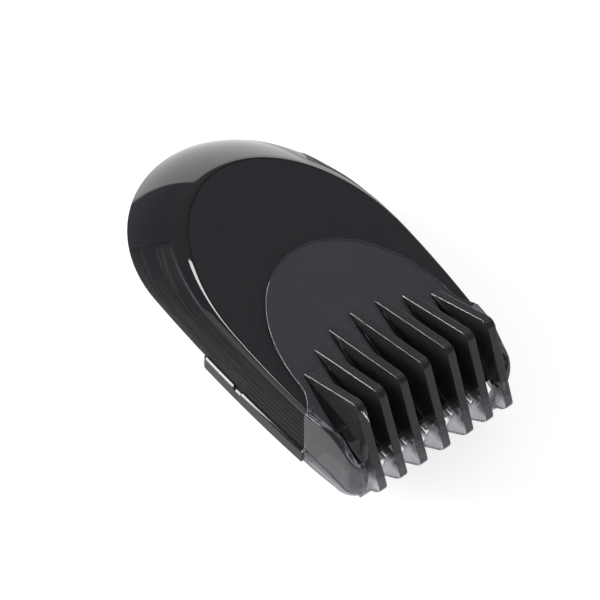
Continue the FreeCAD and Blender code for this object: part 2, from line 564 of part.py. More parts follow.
def make_guide_comb():
    """Smoke-clear comb in one moulding: cheeks, tongue, shoulders, ribs, bottom rail and side arms."""
    comb = new_body("guide_comb")
    comb_cheek(comb, 1)
    slab(comb, "14.4", "comb_front", "rail_rear - 0.4", "arm_low - 0.3", "arm_low + 1.1")
    slab(comb, "17.2", "comb_front + corner_radius - 1", "rail_rear - 0.4", "arm_low - 0.3", "arm_low + 1.1")
    comb_cheek(comb, -1)
    outside = new_sketch(comb, "YZ_Plane", "-30")
    outline(outside, [("-44.6", "tongue_top", "3.2"), ("-47.5", "20.8", "30"), ("-49.9", "10.5"),
                      ("-50.1", "arm_low + 0.8"), ("-56", "arm_low + 0.8"), ("-56", "24"), ("-44.6", "24")])
    pocket(comb, outside, "60", up=True)
    tongue = new_sketch(comb, "XY_Plane", "tongue_low")
    arc = rear_arc(tongue, "tongue_rear", "tongue_rear - tongue_long", "tongue_half")
    front = [("tongue_half", "tongue_rear - tongue_long"), ("19.3", "cheek_rear"), ("18.2", "-44.2"),
             ("14.4", "-44.2"), ("14.4", "-33"), ("9.9", "-30.4"), ("5.3", "-29.2"), ("0", "-28.2"),
             ("-5.3", "-29.2"), ("-9.9", "-30.4"), ("-14.4", "-33"), ("-14.4", "-44.2"), ("-18.2", "-44.2"),
             ("-19.3", "cheek_rear"), ("-tongue_half", "tongue_rear - tongue_long")]
    edges = [edge for edge, _, _ in outline(tongue, front, closed=False, ends_free=True)]
    tongue.addConstraint(Sketcher.Constraint("Coincident", arc, 1, edges[0], 1))
    tongue.addConstraint(Sketcher.Constraint("Coincident", arc, 2, edges[-1], 2))
    pad(comb, tongue, "tongue_top - tongue_low")
    rib(comb, "0", "rib_start")
    for sign in ("", "-"):
        rib(comb, sign + "rib_near", "rib_start_near")
        rib(comb, sign + "rib_mid", "rib_start_mid")
        rib(comb, sign + "rib_outer", "rib_start_outer")
        arm = new_sketch(comb, "XY_Plane", "arm_low")
        outline(arm, [(sign + "22.6", "arm_rear"), (sign + "20.3", "cheek_rear"), (sign + "20", "-39.5"),
                      (sign + "18.6", "-39.5"), (sign + "18.7", "cheek_rear"), (sign + "20.6", "arm_rear")])
        pad(comb, arm, "arm_top - arm_low")


def make_selector():
    """Length selector: cover, carriage with its cam pin, push button, spring and the comb's carrier."""
    cover = new_body("selector_cover")
    slab(cover, "cover_half", "cover_front", "cover_rear", "floor_z", "cover_top")
    slab_cut(cover, "9.6", "select_y - slot_half", "select_y + slot_half", "floor_z - over", "cover_top + over")
    for x, y in COVER_SCREWS:
        bore(cover, x, y, "small_clear", "floor_z - over", "cover_top + over")
    carriage = new_body("selector_carriage", "select_x", "select_y")
    slab(carriage, "carriage_half", "carriage_front - select_y", "carriage_rear - select_y", "carriage_low",
         "carriage_top")
    slab_cut(carriage, "3.3", "-4.4", "4.4", "carriage_low - over", "5.6")
    column(carriage, "0", "0", "cam_pin", "carriage_top - 0.3", "bay_top - 0.15")
    button = new_body("selector_button", "select_x", "select_y")
    slab(button, "button_half", "-button_long", "button_long", "button_low", "4.6")
    slab(button, "3.2", "-4.25", "4.25", "4.1", "4.6")
    for step in ("-2.1", "-0.7", "0.7", "2.1"):
        groove = new_sketch(button, "XY_Plane", "button_low - over")
        rectangle(groove, step + " - 0.35", "-button_long - 1", step + " + 0.35", "button_long + 1")
        pocket(button, groove, "1.35", up=True)
    bore(button, "0", "0", "1.6", "3.1", "6")
    spring = new_body("selector_spring", "select_x", "select_y")
    wire = new_sketch(spring, "XZ_Plane", "0")
    circle(wire, "1.2", "3.3", "0.15")
    coil = spring.newObject("PartDesign::AdditiveHelix", "selector_spring_coil")
    coil.Profile = wire
    coil.ReferenceAxis = (wire, ["V_Axis"])
    coil.Mode = "pitch-height-angle"
    coil.Pitch = 0.5
    coil.Height = 2.1
    carrier = new_body("comb_carrier")
    plate = new_sketch(carrier, "XY_Plane", "carrier_low")
    outline(plate, [("-10.8", "carrier_front"), ("10.8", "carrier_front"), ("10.8", "-16.9"), ("20", "-16.9"),
                    ("20", "-10.9"), ("21.9", "-10.9"), ("21.9", "-9.1"), ("18.8", "-9.1"),
                    ("18.8", "carrier_rear"), ("-18.8", "carrier_rear"), ("-18.8", "-9.1"), ("-21.9", "-9.1"),
                    ("-21.9", "-10.9"), ("-20", "-10.9"), ("-20", "-16.9"), ("-10.8", "-16.9")])
    pad(carrier, plate, "carrier_top - carrier_low")
    cam = new_sketch(carrier, "XY_Plane", "carrier_low - over")
    slope = "comb_travel / select_travel"
    reach = "(select_travel / 2 + 1.6)"
    drop = "cam_slot_half * sqrt(1 + (%s) ^ 2)" % slope
    middle = "select_y + comb_travel / 2"
    outline(cam, [("-" + reach, "%s - %s * %s - %s" % (middle, reach, slope, drop)),
                  (reach, "%s + %s * %s - %s" % (middle, reach, slope, drop)),
                  (reach, "%s + %s * %s + %s" % (middle, reach, slope, drop)),
                  ("-" + reach, "%s - %s * %s + %s" % (middle, reach, slope, drop))])
    pocket(carrier, cam, "3", up=True)


def make_screws(label, places, head_radius, head_low, head_high, shank_radius, shank_low, shank_high,
                socket_up):
    """A group of equal socket-head screws."""
    screws = []
    for x, y in places:
        head = doc.addObject("Part::Cylinder", label + "_head")
        shank = doc.addObject("Part::Cylinder", label + "_shank")
        socket = doc.addObject("Part::Prism", label + "_socket")
        socket.Polygon = 6
        socket_low = "(%s) - 0.5" % head_high if socket_up else head_low
        for solid, radius, low, high in ((head, head_radius, head_low, head_high),
                                         (shank, shank_radius, shank_low, shank_high),
                                         (socket, "(%s) * 0.5" % head_radius, socket_low,
                                          "(%s) + 0.5" % socket_low)):
            solid.setExpression("Placement.Base.x", bind(x))
            solid.setExpression("Placement.Base.y", bind(y))
            solid.setExpression("Placement.Base.z", bind(low))
            solid.setExpression("Height", bind("(%s) - (%s)" % (high, low)))
            solid.setExpression("Circumradius" if solid is socket else "Radius", bind(radius))
        blank = boolean("Fuse", label + "_blank", head, shank, exported=False)
        screws.append(boolean("Cut", label + "_screw", blank, socket, exported=False))
    group = doc.addObject("Part::Compound", label)
    group.Label = label
    group.Links = screws
    PARTS.append(group)


def make_fasteners():
    """The five groups of screws."""
    make_screws("housing_screws", HOUSING_SCREWS, "1.9", "3.6", "5.38", "1.0", "5.2", "12", False)
    make_screws("chassis_screws", CHASSIS_SCREWS, "1.6", "chassis_top + 0.02", "chassis_top + 1.2", "0.8", "5",
                "chassis_top + 0.5", True)
    make_screws("base_screws", BASE_SCREWS, "1.5", "chassis_top + 1.22", "chassis_top + 2.2", "0.8",
                "chassis_low + 0.3", "chassis_top + 1.6", True)
    make_screws("blade_screws", BLADE_SCREWS, "1.8", "8.1", "9.18", "1.0", "9", "fixed_top", False)
    make_screws("cover_screws", COVER_SCREWS, "1.4", "floor_z - 0.9", "floor_z - 0.02", "0.8", "floor_z - 0.3",
                "floor_z + 2.9", False)


make_upper_shell_and_grips()
make_face_plate()
make_nose_cover()
make_lower_housing()
make_mount_collar()
make_drive()
make_chassis()
make_lever()
make_blades()
make_guide_comb()
make_selector()
make_fasteners()
doc.recompute()

for item in doc.Objects:
    if "Invalid" in item.State or "Error" in item.State:
        raise RuntimeError("%s did not build: %s" % (item.Label, item.State))
for part in PARTS:
    if part.Shape.isNull() or not part.Shape.isValid():
        raise RuntimeError("%s has no valid shape" % part.Label)

os.makedirs("parts", exist_ok=True)
for part in PARTS:
    part.Shape.exportStep("parts/%s.step" % part.Label)
    box = part.Shape.BoundBox
    print("%-20s solids %d volume %9.2f  x %6.2f %6.2f  y %6.2f %6.2f  z %6.2f %6.2f"
          % (part.Label, len(part.Shape.Solids), part.Shape.Volume, box.XMin, box.XMax, box.YMin, box.YMax,
             box.ZMin, box.ZMax))
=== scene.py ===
import json
import math

import bmesh
import bpy
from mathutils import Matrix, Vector


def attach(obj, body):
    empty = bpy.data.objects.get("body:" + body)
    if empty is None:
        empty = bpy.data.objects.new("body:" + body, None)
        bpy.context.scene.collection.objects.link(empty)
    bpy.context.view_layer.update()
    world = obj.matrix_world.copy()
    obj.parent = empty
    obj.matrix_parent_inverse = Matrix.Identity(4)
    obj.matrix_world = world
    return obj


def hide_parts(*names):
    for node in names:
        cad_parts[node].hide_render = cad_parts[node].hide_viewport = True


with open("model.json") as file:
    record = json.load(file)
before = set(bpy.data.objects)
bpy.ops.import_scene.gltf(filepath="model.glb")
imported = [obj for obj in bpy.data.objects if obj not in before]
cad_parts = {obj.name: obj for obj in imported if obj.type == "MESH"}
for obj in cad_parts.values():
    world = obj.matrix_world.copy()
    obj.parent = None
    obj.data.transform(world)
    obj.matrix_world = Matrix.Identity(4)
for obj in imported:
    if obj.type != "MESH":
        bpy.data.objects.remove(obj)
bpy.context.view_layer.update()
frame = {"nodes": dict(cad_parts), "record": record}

NODES = frame["nodes"]
MM = 0.001


# ---------------------------------------------------------------- materials

class Shader:
    """A material under construction: its node tree and the few node types the looks are made of."""

    def __init__(self, name):
        self.material = bpy.data.materials.new(name)
        self.material.use_nodes = True
        self.tree = self.material.node_tree
        self.main = self.tree.nodes["Principled BSDF"]
        self.place = self.add("ShaderNodeTexCoord").outputs["Object"]

    def add(self, kind, **values):
        """Add a node; values are set on its inputs by name, with underscores for spaces."""
        node = self.tree.nodes.new(kind)
        for key, given in values.items():
            node.inputs[key.replace("_", " ")].default_value = given
        return node

    def link(self, source, target):
        """Join an output socket to an input socket."""
        self.tree.links.new(source, target)

    def noise(self, scale, detail=3.0, stretch=(1, 1, 1)):
        """Noise in the row frame; stretch squeezes it along an axis."""
        mapping = self.add("ShaderNodeMapping", Scale=stretch)
        self.link(self.place, mapping.inputs["Vector"])
        noise = self.add("ShaderNodeTexNoise", Scale=scale, Detail=detail)
        self.link(mapping.outputs["Vector"], noise.inputs["Vector"])
        return noise.outputs["Fac"]

    def span(self, source, low, high):
        """Map noise, which mostly lies between 0.3 and 0.7, to the span low to high."""
        return self.steps(source, [(0.3, low), (0.7, high)])

    def tint(self, source, first, second):
        """Blend two colours, each three numbers or a socket, by a value."""
        node = self.add("ShaderNodeMix")
        node.data_type = "RGBA"
        for end, colour in (("A", first), ("B", second)):
            if isinstance(colour, tuple):
                node.inputs[end].default_value = (*colour, 1)
            else:
                self.link(colour, node.inputs[end])
        self.link(source, node.inputs["Factor"])
        return [output for output in node.outputs if output.type == "RGBA"][0]

    def bump(self, source, strength, distance, base=None):
        """Raise the surface by a value."""
        node = self.add("ShaderNodeBump", Strength=strength, Distance=distance)
        self.link(source, node.inputs["Height"])
        if base is not None:
            self.link(base, node.inputs["Normal"])
        return node.outputs["Normal"]

    def math(self, operation, *given):
        """A number worked out from sockets or plain numbers."""
        node = self.add("ShaderNodeMath")
        node.operation = operation
        for number, source in enumerate(given):
            if isinstance(source, (int, float)):
                node.inputs[number].default_value = source
            else:
                self.link(source, node.inputs[number])
        return node.outputs[0]

    def parts(self, source):
        """The sizes of a vector's three parts, x and y and z, without their signs."""
        split = self.add("ShaderNodeSeparateXYZ")
        self.link(source, split.inputs[0])
        return [self.math("ABSOLUTE", output) for output in split.outputs]

    def steps(self, source, ends):
        """Map a value from one (place, result) pair to the next."""
        (first, low), (last, high) = ends
        node = self.add("ShaderNodeMapRange")
        node.inputs["From Min"].default_value = first
        node.inputs["From Max"].default_value = last
        node.inputs["To Min"].default_value = low
        node.inputs["To Max"].default_value = high
        self.link(source, node.inputs["Value"])
        return node.outputs["Result"]

    def soft_edges(self, radius):
        """Rounded normals at the edges."""
        node = self.add("ShaderNodeBevel", Radius=radius)
        node.samples = 6
        return node.outputs["Normal"]

    def edge_highlight_mask(self, radius):
        """A value that rises from 0 to 1 at sharp edges, where the moulded looks paint a highlight."""
        bevel = self.soft_edges(radius)
        geometry = self.add("ShaderNodeNewGeometry")
        dot = self.add("ShaderNodeVectorMath")
        dot.operation = "DOT_PRODUCT"
        self.link(bevel, dot.inputs[0])
        self.link(geometry.outputs["Normal"], dot.inputs[1])
        return self.steps(dot.outputs["Value"], [(0.995, 0), (0.8, 1)])


def moulded(name, dark, light, rough_low, rough_high, grain, grain_depth, round_edge=0.12 * MM, gloss=0.5,
            stretch=(1, 1, 1)):
    """Moulded plastic: mottled colour, uneven roughness, fine grain, softened edges with a painted highlight,
    a lighter colour along them.
    """
    look = Shader(name)
    mottle = look.tint(look.noise(180, 4), dark, light)
    # painted highlight: the colour is made lighter along sharp edges
    painted_highlight = tuple(min(1, channel * 1.8 + 0.015) for channel in light)
    look.link(look.tint(look.edge_highlight_mask(round_edge), mottle, painted_highlight), look.main.inputs["Base Color"])
    look.link(look.span(look.noise(900, 5), rough_low, rough_high), look.main.inputs["Roughness"])
    normal = look.bump(look.noise(grain, 2, stretch), 0.6, grain_depth, look.soft_edges(round_edge))
    look.link(normal, look.main.inputs["Normal"])
    look.main.inputs["Specular IOR Level"].default_value = gloss
    return look.material


def steel(name, colour, rough_low, rough_high, stretch):
    """Ground steel with fine scratches along one axis."""
    look = Shader(name)
    darker = tuple(0.8 * channel for channel in colour)
    look.link(look.tint(look.noise(500, 4, stretch), darker, colour), look.main.inputs["Base Color"])
    look.main.inputs["Metallic"].default_value = 1.0
    look.link(look.span(look.noise(1500, 4, stretch), rough_low, rough_high), look.main.inputs["Roughness"])
    normal = look.bump(look.noise(4000, 2, stretch), 0.3, 0.005 * MM, look.soft_edges(0.06 * MM))
    look.link(normal, look.main.inputs["Normal"])
    return look.material


SMOKE_DENSITY, SMOKE_TINT, SMOKE_HAZE = 40.0, 0.10, 0.15
# x in mm over which the ribs' sides stop being clear, the heights over which that fades out upwards, and the
# heights and tints over which the lower rim darkens upwards: painted light, the rim lighter towards the floor
CLEAR_HALF_WIDTH = (15.55, 15.75)
CLEAR_FADE = (12.5, 16.5)
RIM_PAINTED_LIGHT = [(6.2, 0.75), (9.0, SMOKE_TINT)]
FLAT_TINT, WALL_TINT, CLEAR_ROUGHNESS = 0.45, 0.13, 0.25


def smoke_clear(name):
    """Smoke-tinted clear plastic: clear low on the ribs' sides, tinted on the walls, dark everywhere else;
    painted light makes the lower rim's tint lighter towards its bottom.
    """
    look = Shader(name)
    normal_x, _, normal_z = look.parts(look.add("ShaderNodeNewGeometry").outputs["Normal"])
    x, _, z = look.parts(look.place)
    side = look.steps(normal_x, [(0.75, 0), (0.92, 1)])
    inside, outside = [place * MM for place in CLEAR_HALF_WIDTH]
    inner = look.steps(x, [(inside, 1), (outside, 0)])
    low = look.steps(z, [(CLEAR_FADE[0] * MM, 1), (CLEAR_FADE[1] * MM, 0)])
    clear = look.math("MULTIPLY", look.math("MULTIPLY", side, inner), low)
    flat = look.steps(normal_z, [(0.955, 0), (0.985, 1)])
    # painted light: the tint lightens towards the rim's bottom, standing in for light from the floor
    height = look.steps(z, [(place * MM, tint) for place, tint in RIM_PAINTED_LIGHT])
    wall = look.math("MULTIPLY", side, look.steps(x, [(inside, 0), (outside, WALL_TINT)]))
    tint = look.math("MAXIMUM", height, look.math("MULTIPLY", flat, FLAT_TINT))
    tint = look.math("MAXIMUM", look.math("MAXIMUM", tint, clear), wall)
    look.link(look.tint(tint, (0, 0, 0), (0.96, 0.94, 1.0)), look.main.inputs["Base Color"])
    see_through = look.math("MAXIMUM", look.math("MAXIMUM", flat, clear), 1 - SMOKE_HAZE)
    look.link(see_through, look.main.inputs["Transmission Weight"])
    look.main.inputs["IOR"].default_value = 1.46
    grain = look.span(look.noise(700, 4), 0.015, 0.05)
    look.link(look.math("MULTIPLY_ADD", clear, CLEAR_ROUGHNESS, grain), look.main.inputs["Roughness"])
    look.link(look.bump(look.noise(350, 3), 0.10, 0.01 * MM), look.main.inputs["Normal"])
    depth = look.add("ShaderNodeVolumeAbsorption", Color=(0.30, 0.29, 0.37, 1), Density=SMOKE_DENSITY)
    look.link(depth.outputs["Volume"], look.tree.nodes["Material Output"].inputs["Volume"])
    return look.material


# darker and lighter colour, lowest and highest roughness, fineness and depth in mm of the grain, other values
PLASTICS = {
    "gloss_black": ((0.004, 0.004, 0.005), (0.006, 0.006, 0.007), 0.03, 0.07, 500, 0.001, {}),
    "matte_charcoal": ((0.024, 0.023, 0.029), (0.029, 0.028, 0.035), 0.48, 0.56, 6000, 0.012,
                       {"round_edge": 0.10 * MM}),
    "grip_black": ((0.005, 0.005, 0.0065), (0.008, 0.008, 0.010), 0.34, 0.46, 3500, 0.03,
                   {"stretch": (1, 0.3, 1), "gloss": 0.10}),
    "smoke_dark": ((0.006, 0.006, 0.008), (0.009, 0.009, 0.011), 0.05, 0.09, 900, 0.002, {"gloss": 0.7}),
    "satin_black": ((0.006, 0.006, 0.008), (0.010, 0.010, 0.012), 0.30, 0.42, 3500, 0.012, {}),
    "satin_grey": ((0.10, 0.10, 0.11), (0.13, 0.13, 0.14), 0.32, 0.45, 3500, 0.015, {}),
    "pale_polymer": ((0.62, 0.62, 0.58), (0.70, 0.70, 0.66), 0.35, 0.5, 3000, 0.01, {}),
    "button_grey": ((0.16, 0.165, 0.18), (0.20, 0.205, 0.22), 0.3, 0.42, 3500, 0.015, {}),
}
# colour, lowest and highest roughness, and how much the scratches are squeezed along each axis
STEELS = {
    "bright_steel": ((0.86, 0.86, 0.88), 0.22, 0.36, (12, 1, 1)),
    "screw_steel": ((0.50, 0.50, 0.52), 0.25, 0.4, (1, 1, 8)),
    "bronze": ((0.55, 0.38, 0.20), 0.3, 0.5, (1, 1, 6)),
}


def make_looks():
    """Every material by name; smoke_dark is a look of its own, the others are the record's slots."""
    looks = {}
    for name, (dark, light, smoothest, roughest, grain, depth, rest) in PLASTICS.items():
        looks[name] = moulded(name, dark, light, smoothest, roughest, grain, depth * MM, **rest)
    for name, (colour, smoothest, roughest, stretch) in STEELS.items():
        looks[name] = steel(name, colour, smoothest, roughest, stretch)
    looks["smoke_clear"] = smoke_clear("smoke_clear")
    return looks


LOOKS = make_looks()


# ---------------------------------------------------------------- mesh tools

def finish_mesh(bm, name, look, body, stands_for=(), sharp=35):
    """Turn a bmesh into a shown piece with this look that rides on a body."""
    bmesh.ops.recalc_face_normals(bm, faces=bm.faces)
    mesh = bpy.data.meshes.new(name)
    bm.to_mesh(mesh)
    bm.free()
    mesh.shade_smooth()
    mesh.set_sharp_from_angle(angle=math.radians(sharp))
    mesh.materials.append(LOOKS[look])
    piece = bpy.data.objects.new(name, mesh)
    bpy.context.scene.collection.objects.link(piece)
    even = piece.modifiers.new("even_normals", "WEIGHTED_NORMAL")
    even.keep_sharp = True
    even.weight = 100
    if stands_for:
        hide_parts(*stands_for)
    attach(piece, body)
    return piece


def rounded(corners, steps=5):
    """A closed outline: each corner (a, b, radius) becomes an arc of that radius."""
    points = []
    for number, (a, b, radius) in enumerate(corners):
        here = Vector((a, b))
        if radius == 0:
            points.append(here)
            continue
        before = (Vector(corners[number - 1][:2]) - here).normalized()
        after = (Vector(corners[(number + 1) % len(corners)][:2]) - here).normalized()
        half = before.angle(after) / 2
        centre = here + (before + after).normalized() * radius / math.sin(half)
        first = here + before * radius / math.tan(half) - centre
        last = here + after * radius / math.tan(half) - centre
        turn = math.atan2(first.x * last.y - first.y * last.x, first.dot(last))
        for step in range(steps + 1):
            c, s = math.cos(turn * step / steps), math.sin(turn * step / steps)
            points.append(centre + Vector((first.x * c - first.y * s, first.x * s + first.y * c)))
    return points


def shrunk(points, amount):
    """The same outline moved inwards everywhere by this amount."""
    count = len(points)
    area = sum(points[i - 1].x * points[i].y - points[i].x * points[i - 1].y for i in range(count))
    inward = amount if area > 0 else -amount
    moved = []
    for number, here in enumerate(points):
        along = (here - points[number - 1]).normalized()
        onward = (points[(number + 1) % count] - here).normalized()
        first, second = Vector((-along.y, along.x)), Vector((-onward.y, onward.x))
        moved.append(here + (first + second) * inward / max(0.4, 1 + first.dot(second)))
    return moved


def skin(bm, rings):
    """Join rings of equally many (x, y, z) points in mm; the first and last rings are closed with a face."""
    rows = [[bm.verts.new(Vector(point) * MM) for point in ring] for ring in rings]
    for row, following in zip(rows, rows[1:]):
        for number in range(len(row)):
            after = (number + 1) % len(row)
            bm.faces.new((row[number], row[after], following[after], following[number]))
    bm.faces.new(rows[0])
    bm.faces.new(rows[-1])


def plate(points, axis, low, high, edge, steps=4):
    """A plate with this outline between two places on an axis, its rims rounded with radius edge."""
    order = {"x": lambda a, b, c: (c, a, b), "z": lambda a, b, c: (a, b, c)}[axis]
    rings = []
    for step in range(2 * steps + 2):
        angle = math.pi / 2 * (step if step <= steps else step - 1) / steps
        across = low + edge * (1 - math.cos(angle)) if step <= steps else high - edge * (1 + math.cos(angle))
        rings.append([order(p.x, p.y, across) for p in shrunk(points, edge * (1 - math.sin(angle)))])
    bm = bmesh.new()
    skin(bm, rings)
    return bm


def boolean(first_parts, second_parts, name, operation):
    """Join all parts, or cut the second ones out of the first ones; gives one closed bmesh."""
    objects = []
    for number, bm in enumerate(first_parts + second_parts):
        bmesh.ops.recalc_face_normals(bm, faces=bm.faces)
        mesh = bpy.data.meshes.new("%s_part_%d" % (name, number))
        bm.to_mesh(mesh)
        bm.free()
        part = bpy.data.objects.new(mesh.name, mesh)
        bpy.context.scene.collection.objects.link(part)
        objects.append(part)
    group = bpy.data.collections.new(name + "_parts")
    for part in objects[1:]:
        group.objects.link(part)
    change = objects[0].modifiers.new(name, "BOOLEAN")
    change.operation = operation
    change.solver = "EXACT"
    change.operand_type = "COLLECTION"
    change.collection = group
    graph = bpy.context.evaluated_depsgraph_get()
    result = bmesh.new()
    result.from_mesh(bpy.data.meshes.new_from_object(objects[0].evaluated_get(graph)))
    for part in objects:
        bpy.data.objects.remove(part)
    bpy.data.collections.remove(group)
    return result


def blend(low, high, share):
    """A value between low and high."""
    return low + (high - low) * share


def smooth(share):
    """Ease from 0 to 1 while the share goes from 0 to 1."""
    share = min(1.0, max(0.0, share))
    return share * share * (3 - 2 * share)


def along(table, place):
    """Value at a place on a line of (place, value) pairs."""
    for (first, low), (second, high) in zip(table, table[1:]):
        if place <= second:
            return blend(low, high, max(0.0, (place - first) / (second - first)))
    return table[-1][1]


# ---------------------------------------------------------------- housing shape

BELT_Z, MID_Z, FACE_Z = 8.6, 16.0, 22.0
LEVELS = {"rear": (32.4, 24.6, 15.8), "widest": (6.5, -5.5, -16.5), "half": (22.5, 21.75, 20.05),
          "front_half": (19.8, 19.7, 19.2)}
BODY_FRONT = -37.5


def level(name, z):
    """Size of the housing's outline at height z: a parabola through the belt, middle and face sizes."""
    belt, middle, face = LEVELS[name]
    return (belt * (z - MID_Z) * (z - FACE_Z) / ((BELT_Z - MID_Z) * (BELT_Z - FACE_Z))
            + middle * (z - BELT_Z) * (z - FACE_Z) / ((MID_Z - BELT_Z) * (MID_Z - FACE_Z))
            + face * (z - BELT_Z) * (z - MID_Z) / ((FACE_Z - BELT_Z) * (FACE_Z - MID_Z)))


def side_radius(z):
    """Radius of the shallow arc along the housing's side."""
    drop, narrowing = level("widest", z) - BODY_FRONT, level("half", z) - level("front_half", z)
    return (drop ** 2 + narrowing ** 2) / (2 * narrowing)


def flank(y, z, out=0.0):
    """Point on the right flank at y, z, moved outwards by a distance."""
    widest, half = level("widest", z), level("half", z)
    if y > widest:
        depth = level("rear", z) - widest
        rise = min(1.0, (y - widest) / depth)
        x = half * math.sqrt(1 - rise ** 2)
        normal = Vector((x / half ** 2, (y - widest) / depth ** 2)).normalized()
    else:
        radius = side_radius(z)
        x = half - radius + math.sqrt(radius ** 2 - (y - widest) ** 2)
        normal = Vector((x - half + radius, y - widest)).normalized()
    return (x + normal.x * out, y + normal.y * out, z)


def station(share, z, inset):
    """Point on the outline at height z: share 0 is the right front end, 0.5 the rear, 1 the left end."""
    mirror = share > 0.5
    quarter = (1 - share if mirror else share) * 4
    widest, half = level("widest", z), level("half", z)
    if quarter <= 1:
        x, y, _ = flank(blend(BODY_FRONT, widest, quarter), z, -inset)
    else:
        angle = (quarter - 1) * math.pi / 2
        depth = level("rear", z) - widest
        normal = Vector((math.cos(angle) / half, math.sin(angle) / depth)).normalized()
        x = half * math.cos(angle) - normal.x * inset
        y = widest + depth * math.sin(angle) - normal.y * inset
    return (-x if mirror else x, max(y, BODY_FRONT), z)


# ---------------------------------------------------------------- upper shell and grips

RIM_LOW, RIM_TOP, RIM_INSET = 20.95, 21.97, 0.27
SHELL_LOW = BELT_Z + 0.05
SHELL_WALL, LEDGE_INSET, LEDGE_Z, CAVITY_TOP = 1.6, 2.8, 20.58, 19.8
SHELL_STATIONS = 160
GRIP_LOW, GRIP_REAR_LOW, GRIP_REAR_HIGH = 8.9, 19.0, 9.0
GRIP_TOP = [(-38.0, 20.3), (-20.0, 20.2), (-6.0, 19.8), (4.0, 19.4), (10.0, 19.1)]
GRIP_PROUD, GRIP_DEPTH, GRIP_GAP, GRIP_SLACK = 0.10, 0.9, 0.07, 0.02
# rough height and length of a grip, and how far and how wide its edges fall away
GRIP_HIGH, GRIP_LONG = 11.0, 50.0
EDGE_FALL, EDGE_WIDE, EDGE_REAR_WIDE = 0.16, 0.35, 0.5
# how far the recess's cutter runs past the shell
CUT_PAST = 1.0
# middle height of each soft ridge; the ridges fade out between RIDGE_FADE behind RIDGE_END and that place
RIDGES = [12.6, 16.9]
RIDGE_HIGH, RIDGE_WIDE, DIP_DEEP, DIP_BELOW = 0.10, 0.30, 0.08, 0.6
RIDGE_END, RIDGE_FADE = -24.0, 16.0
# middle height of each groove and the y where it is fully cut
GROOVES = [(10.2, -30.0), (12.0, -28.0), (13.6, -30.0), (15.1, -26.0), (16.5, -29.0), (17.8, -25.0),
           (19.2, -22.0)]
GROOVE_FADE, GROOVE_DEEP, GROOVE_WIDE = 12.0, 0.20, 0.14


def shell_section(share):
    """Cross-section of the shell's wall at one place round the outline."""
    outer = [(blend(SHELL_LOW, RIM_LOW, step / 16), 0.0) for step in range(17)]
    steps = 6
    rim = []
    for step in range(1, steps + 1):
        angle = math.pi / 2 * step / steps
        rim.append((RIM_LOW + (RIM_TOP - RIM_LOW) * math.sin(angle), RIM_INSET * (1 - math.cos(angle))))
    inner = [(LEDGE_Z, RIM_INSET), (LEDGE_Z, LEDGE_INSET), (CAVITY_TOP, LEDGE_INSET), (MID_Z, SHELL_WALL),
             (SHELL_LOW, SHELL_WALL)]
    return [station(share, z, inset) for z, inset in outer + rim + inner]


def ridge_height(y, z):
    """Height over the grip: soft ridges at the rear, narrow grooves that deepen towards the comb."""
    height = 0.0
    rear = smooth((y - RIDGE_END) / RIDGE_FADE)
    for middle in RIDGES:
        height += rear * (RIDGE_HIGH * math.exp(-((z - middle) / RIDGE_WIDE) ** 2)
                          - DIP_DEEP * math.exp(-((z - middle + DIP_BELOW) / RIDGE_WIDE) ** 2))
    for middle, full in GROOVES:
        cut = smooth((full + GROOVE_FADE - y) / GROOVE_FADE)
        height -= GROOVE_DEEP * cut * math.exp(-((z - middle) / GROOVE_WIDE) ** 2)
    return height


def grip_solid(grow, depth, textured, rows=170, columns=70):
    """The right grip panel, or with grow above 0 its cutter: wider all round and past the shell."""
    past = CUT_PAST if grow else 0

    def place(column, row):
        share, rise = column / columns, row / rows
        rear = blend(GRIP_REAR_LOW, GRIP_REAR_HIGH, rise) + grow
        y = blend(rear, BODY_FRONT - past, share)
        z = blend(GRIP_LOW - grow, along(GRIP_TOP, y) + grow, rise)
        return y, z, min(rise, 1 - rise) * GRIP_HIGH, share * GRIP_LONG

    def surface(column, row):
        y, z, from_edge, from_rear = place(column, row)
        lift = GRIP_PROUD + past
        if textured:
            inwards = min(from_edge / EDGE_WIDE, from_rear / EDGE_REAR_WIDE, 1)
            lift += ridge_height(y, z) - EDGE_FALL * (1 - smooth(inwards))
        return flank(y, z, lift)

    def back(column, row):
        y, z, _, _ = place(column, row)
        return flank(y, z, -depth)

    bm = bmesh.new()
    sheets = []
    for make in (surface, back):
        sheets.append([[bm.verts.new(Vector(make(column, row)) * MM) for row in range(rows + 1)]
                       for column in range(columns + 1)])
    for sheet in sheets:
        for column in range(columns):
            for row in range(rows):
                bm.faces.new((sheet[column][row], sheet[column + 1][row], sheet[column + 1][row + 1],
                              sheet[column][row + 1]))
    loop = ([(column, 0) for column in range(columns)] + [(columns, row) for row in range(rows)]
            + [(column, rows) for column in range(columns, 0, -1)] + [(0, row) for row in range(rows, 0, -1)])
    for (column, row), (next_column, next_row) in zip(loop, loop[1:] + loop[:1]):
        bm.faces.new((sheets[0][column][row], sheets[0][next_column][next_row],
                      sheets[1][next_column][next_row], sheets[1][column][row]))
    return bm


def mirrored(bm):
    """Move a piece to the other side."""
    for vert in bm.verts:
        vert.co.x = -vert.co.x


def make_shell_and_grips():
    """Gloss shell with a soft rim round the face and recesses for the two grips, and the grips in them."""
    shell = bmesh.new()
    skin(shell, [shell_section(step / SHELL_STATIONS) for step in range(SHELL_STATIONS + 1)])
    cutters = [grip_solid(GRIP_GAP, GRIP_DEPTH + GRIP_SLACK, False, rows=12, columns=40) for _ in range(2)]
    mirrored(cutters[1])
    recessed = boolean([shell], cutters, "shell", "DIFFERENCE")
    finish_mesh(recessed, "upper_shell_gloss", "gloss_black", "housing", ["upper_shell"], sharp=30)
    for side in ("right", "left"):
        panel = grip_solid(0, GRIP_DEPTH - GRIP_SLACK, True)
        if side == "left":
            mirrored(panel)
        node = "side_grip_" + side
        finish_mesh(panel, node + "_panel", "grip_black", "housing", [node], sharp=50)


